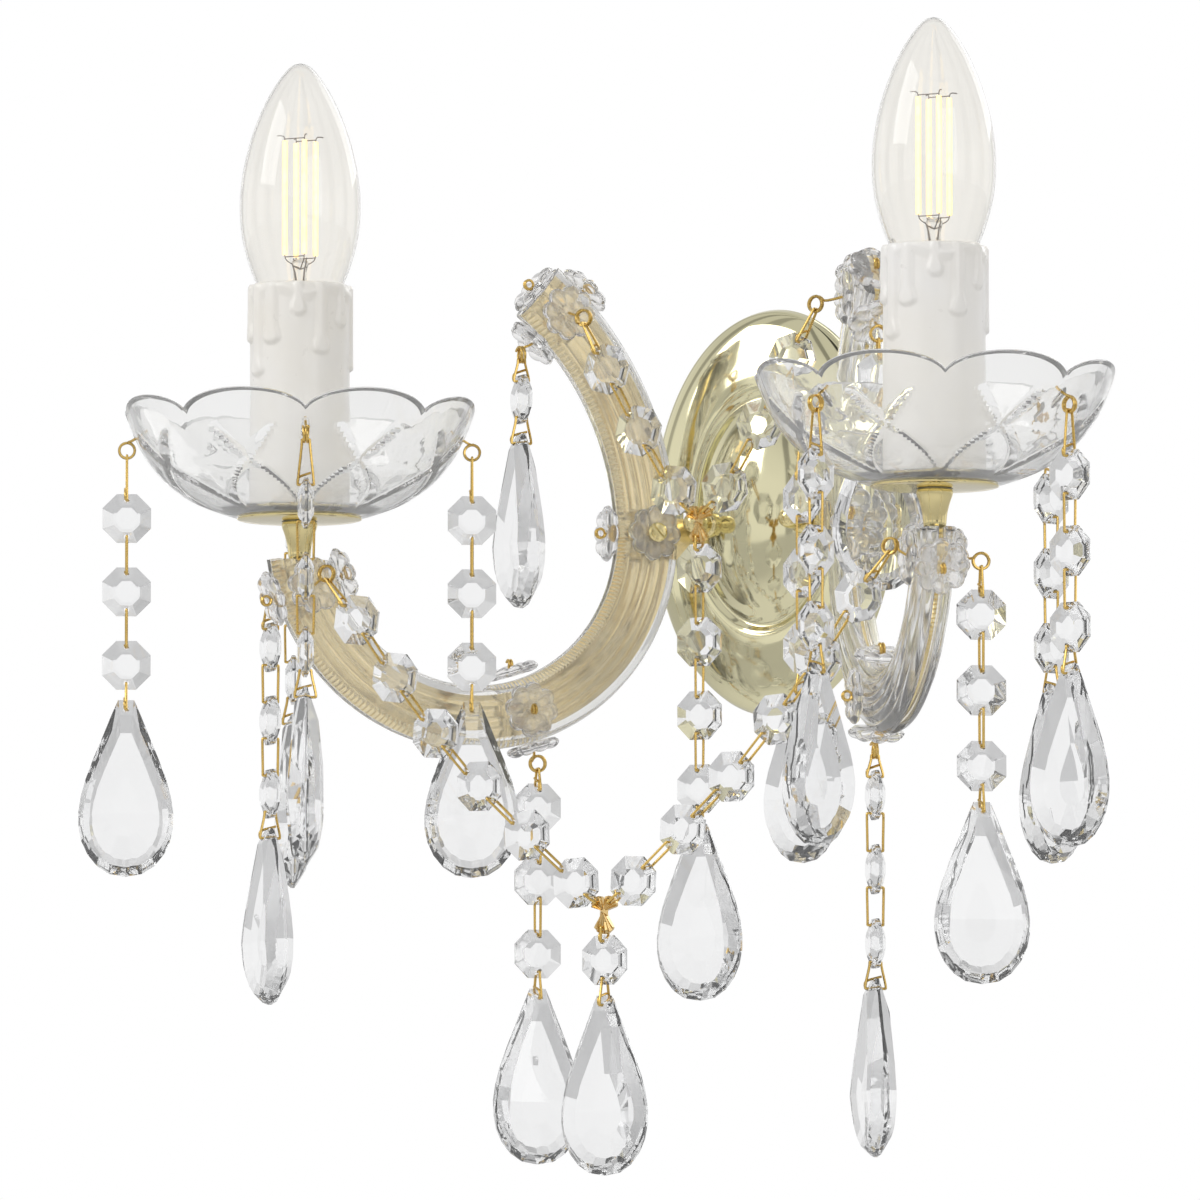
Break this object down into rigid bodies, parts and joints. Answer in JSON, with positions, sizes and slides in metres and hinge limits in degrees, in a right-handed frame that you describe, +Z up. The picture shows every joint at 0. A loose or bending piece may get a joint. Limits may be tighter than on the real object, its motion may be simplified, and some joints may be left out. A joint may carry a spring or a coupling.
{
  "type": "double arm wall sconce",
  "caption": "Wall light with an oval brass plate, two hooked arms of ribbed glass, scalloped glass drip pans, candle lamps, and strands and swags of octagon crystals that end in pear drops.",
  "frame": {"origin": "middle of the wall plate's oval, on the wall plane", "axes": "+Z up, +Y into the wall, the room at -Y, +X to the right seen from the room"},
  "size_m": [0.3209, 0.1613, 0.3236],
  "materials": {
    "plate_brass": "polished, pale",
    "brass": "polished",
    "gold_wire": "bright drawn wire",
    "zinc_steel": "zinc plated",
    "crystal_glass": "cut and polished, clear",
    "arm_glass": "ribbed, clear",
    "pressed_glass": "pressed and cut, clear",
    "bulb_glass": "thin, clear",
    "bulb_parts": "screw cap, glass stem and coated filament rods",
    "ivory_plastic": "off-white, satin",
    "white_plastic": "white"
  },
  "bodies": {
    "left_cup_strand": {"left_cup_strand_crystals": "crystal_glass", "left_cup_strand_wires": "gold_wire"},
    "left_bow_strand": {"left_bow_strand_crystals": "crystal_glass", "left_bow_strand_wires": "gold_wire"},
    "left_curl_strand": {"left_curl_strand_crystals": "crystal_glass", "left_curl_strand_wires": "gold_wire"},
    "left_pan_strand_1": {"left_pan_strand_1_crystals": "crystal_glass", "left_pan_strand_1_wires": "gold_wire"},
    "left_pan_strand_2": {"left_pan_strand_2_crystals": "crystal_glass", "left_pan_strand_2_wires": "gold_wire"},
    "left_pan_strand_3": {"left_pan_strand_3_crystals": "crystal_glass", "left_pan_strand_3_wires": "gold_wire"},
    "left_pan_strand_4": {"left_pan_strand_4_crystals": "crystal_glass", "left_pan_strand_4_wires": "gold_wire"},
    "right_cup_strand": {"right_cup_strand_crystals": "crystal_glass", "right_cup_strand_wires": "gold_wire"},
    "right_bow_strand": {"right_bow_strand_crystals": "crystal_glass", "right_bow_strand_wires": "gold_wire"},
    "right_curl_strand": {"right_curl_strand_crystals": "crystal_glass", "right_curl_strand_wires": "gold_wire"},
    "right_pan_strand_1": {"right_pan_strand_1_crystals": "crystal_glass", "right_pan_strand_1_wires": "gold_wire"},
    "right_pan_strand_2": {"right_pan_strand_2_crystals": "crystal_glass", "right_pan_strand_2_wires": "gold_wire"},
    "right_pan_strand_3": {"right_pan_strand_3_crystals": "crystal_glass", "right_pan_strand_3_wires": "gold_wire"},
    "right_pan_strand_4": {"right_pan_strand_4_crystals": "crystal_glass", "right_pan_strand_4_wires": "gold_wire"},
    "lower_swag": {"lower_swag_crystals": "crystal_glass", "lower_swag_wires": "gold_wire"},
    "lower_swag_pendant": {"lower_swag_pendant_crystals": "crystal_glass", "lower_swag_pendant_wires": "gold_wire"},
    "upper_swag": {"upper_swag_crystals": "crystal_glass", "upper_swag_wires": "gold_wire"},
    "upper_swag_pendant": {"upper_swag_pendant_crystals": "crystal_glass", "upper_swag_pendant_wires": "gold_wire"},
    "left_bulb": {"left_bulb_core": "bulb_parts", "left_bulb_glass": "bulb_glass"},
    "right_bulb": {"right_bulb_core": "bulb_parts", "right_bulb_glass": "bulb_glass"},
    "sconce": {"arm_ferrules": "brass", "arm_screws": "zinc_steel", "arm_yoke": "zinc_steel", "candle_sleeves": "ivory_plastic", "candle_tubes": "zinc_steel", "drip_pan_discs": "brass", "lampholders": "white_plastic", "left_arm_glass": "arm_glass", "left_arm_strip": "brass", "left_drip_pan": "pressed_glass", "plate_cap_nuts": "brass", "plate_studs": "zinc_steel", "right_arm_glass": "arm_glass", "right_arm_strip": "brass", "right_drip_pan": "pressed_glass", "rosettes": "crystal_glass", "terminal_block": "white_plastic", "wall_bracket": "zinc_steel", "wall_plate": "plate_brass", "wire_eyes": "gold_wire"}
  },
  "joints": [
    {"name": "left_cup_strand_hinge", "type": "hinge", "parent": "sconce", "child": "left_cup_strand", "pos_m": [-0.11473, -0.095, -0.02777], "axis": [0.6481, 0.7615, 0], "range_deg": [-10, 15]},
    {"name": "left_bow_strand_hinge", "type": "hinge", "parent": "sconce", "child": "left_bow_strand", "pos_m": [-0.05494, -0.04357, -0.07528], "axis": [-0.7615, 0.6481, 0], "range_deg": [-12, 12]},
    {"name": "left_curl_strand_hinge", "type": "hinge", "parent": "sconce", "child": "left_curl_strand", "pos_m": [-0.05826, -0.04747, 0.04376], "axis": [0.6481, 0.7615, 0], "range_deg": [-12, 12]},
    {"name": "left_pan_strand_1_hinge", "type": "hinge", "parent": "sconce", "child": "left_pan_strand_1", "pos_m": [-0.07619, -0.14172, 0.01297], "axis": [0.848, 0.5299, 0], "range_deg": [-18, 8]},
    {"name": "left_pan_strand_2_hinge", "type": "hinge", "parent": "sconce", "child": "left_pan_strand_2", "pos_m": [-0.06036, -0.07315, 0.01297], "axis": [-0.5299, 0.848, 0], "range_deg": [-18, 8]},
    {"name": "left_pan_strand_3_hinge", "type": "hinge", "parent": "sconce", "child": "left_pan_strand_3", "pos_m": [-0.12893, -0.05732, 0.01297], "axis": [-0.848, -0.5299, 0], "range_deg": [-18, 8]},
    {"name": "left_pan_strand_4_hinge", "type": "hinge", "parent": "sconce", "child": "left_pan_strand_4", "pos_m": [-0.14476, -0.12589, 0.01297], "axis": [0.5299, -0.848, 0], "range_deg": [-18, 8]},
    {"name": "right_cup_strand_hinge", "type": "hinge", "parent": "sconce", "child": "right_cup_strand", "pos_m": [0.11473, -0.095, -0.02777], "axis": [0.6481, -0.7615, 0], "range_deg": [-10, 15]},
    {"name": "right_bow_strand_hinge", "type": "hinge", "parent": "sconce", "child": "right_bow_strand", "pos_m": [0.05494, -0.04357, -0.07528], "axis": [0.7615, 0.6481, 0], "range_deg": [-12, 12]},
    {"name": "right_curl_strand_hinge", "type": "hinge", "parent": "sconce", "child": "right_curl_strand", "pos_m": [0.05826, -0.04747, 0.04376], "axis": [0.6481, -0.7615, 0], "range_deg": [-12, 12]},
    {"name": "right_pan_strand_1_hinge", "type": "hinge", "parent": "sconce", "child": "right_pan_strand_1", "pos_m": [0.0901, -0.1477, 0.01297], "axis": [0.9681, -0.2504, 0], "range_deg": [-18, 8]},
    {"name": "right_pan_strand_2_hinge", "type": "hinge", "parent": "sconce", "child": "right_pan_strand_2", "pos_m": [0.15074, -0.11198, 0.01297], "axis": [0.2504, 0.9681, 0], "range_deg": [-18, 8]},
    {"name": "right_pan_strand_3_hinge", "type": "hinge", "parent": "sconce", "child": "right_pan_strand_3", "pos_m": [0.11502, -0.05134, 0.01297], "axis": [-0.9681, 0.2504, 0], "range_deg": [-18, 8]},
    {"name": "right_pan_strand_4_hinge", "type": "hinge", "parent": "sconce", "child": "right_pan_strand_4", "pos_m": [0.05438, -0.08706, 0.01297], "axis": [-0.2504, -0.9681, 0], "range_deg": [-18, 8]},
    {"name": "lower_swag_hinge", "type": "hinge", "parent": "sconce", "child": "lower_swag", "pos_m": [0, -0.1042, -0.0232], "axis": [1, 0, 0], "range_deg": [-8, 8]},
    {"name": "lower_swag_pendant_hinge", "type": "hinge", "parent": "lower_swag", "child": "lower_swag_pendant", "pos_m": [0, -0.1042, -0.12652], "axis": [0, 1, 0], "range_deg": [-12, 12]},
    {"name": "upper_swag_hinge", "type": "hinge", "parent": "sconce", "child": "upper_swag", "pos_m": [0, -0.047, 0.0535], "axis": [1, 0, 0], "range_deg": [-8, 8]},
    {"name": "upper_swag_pendant_hinge", "type": "hinge", "parent": "upper_swag", "child": "upper_swag_pendant", "pos_m": [0, -0.047, -0.01085], "axis": [0, 1, 0], "range_deg": [-12, 12]},
    {"name": "left_bulb_slide", "type": "slide", "parent": "sconce", "child": "left_bulb", "axis": [0, 0, 1], "range_m": [0, 0.03]},
    {"name": "right_bulb_slide", "type": "slide", "parent": "sconce", "child": "right_bulb", "axis": [0, 0, 1], "range_m": [0, 0.03]}
  ]
}
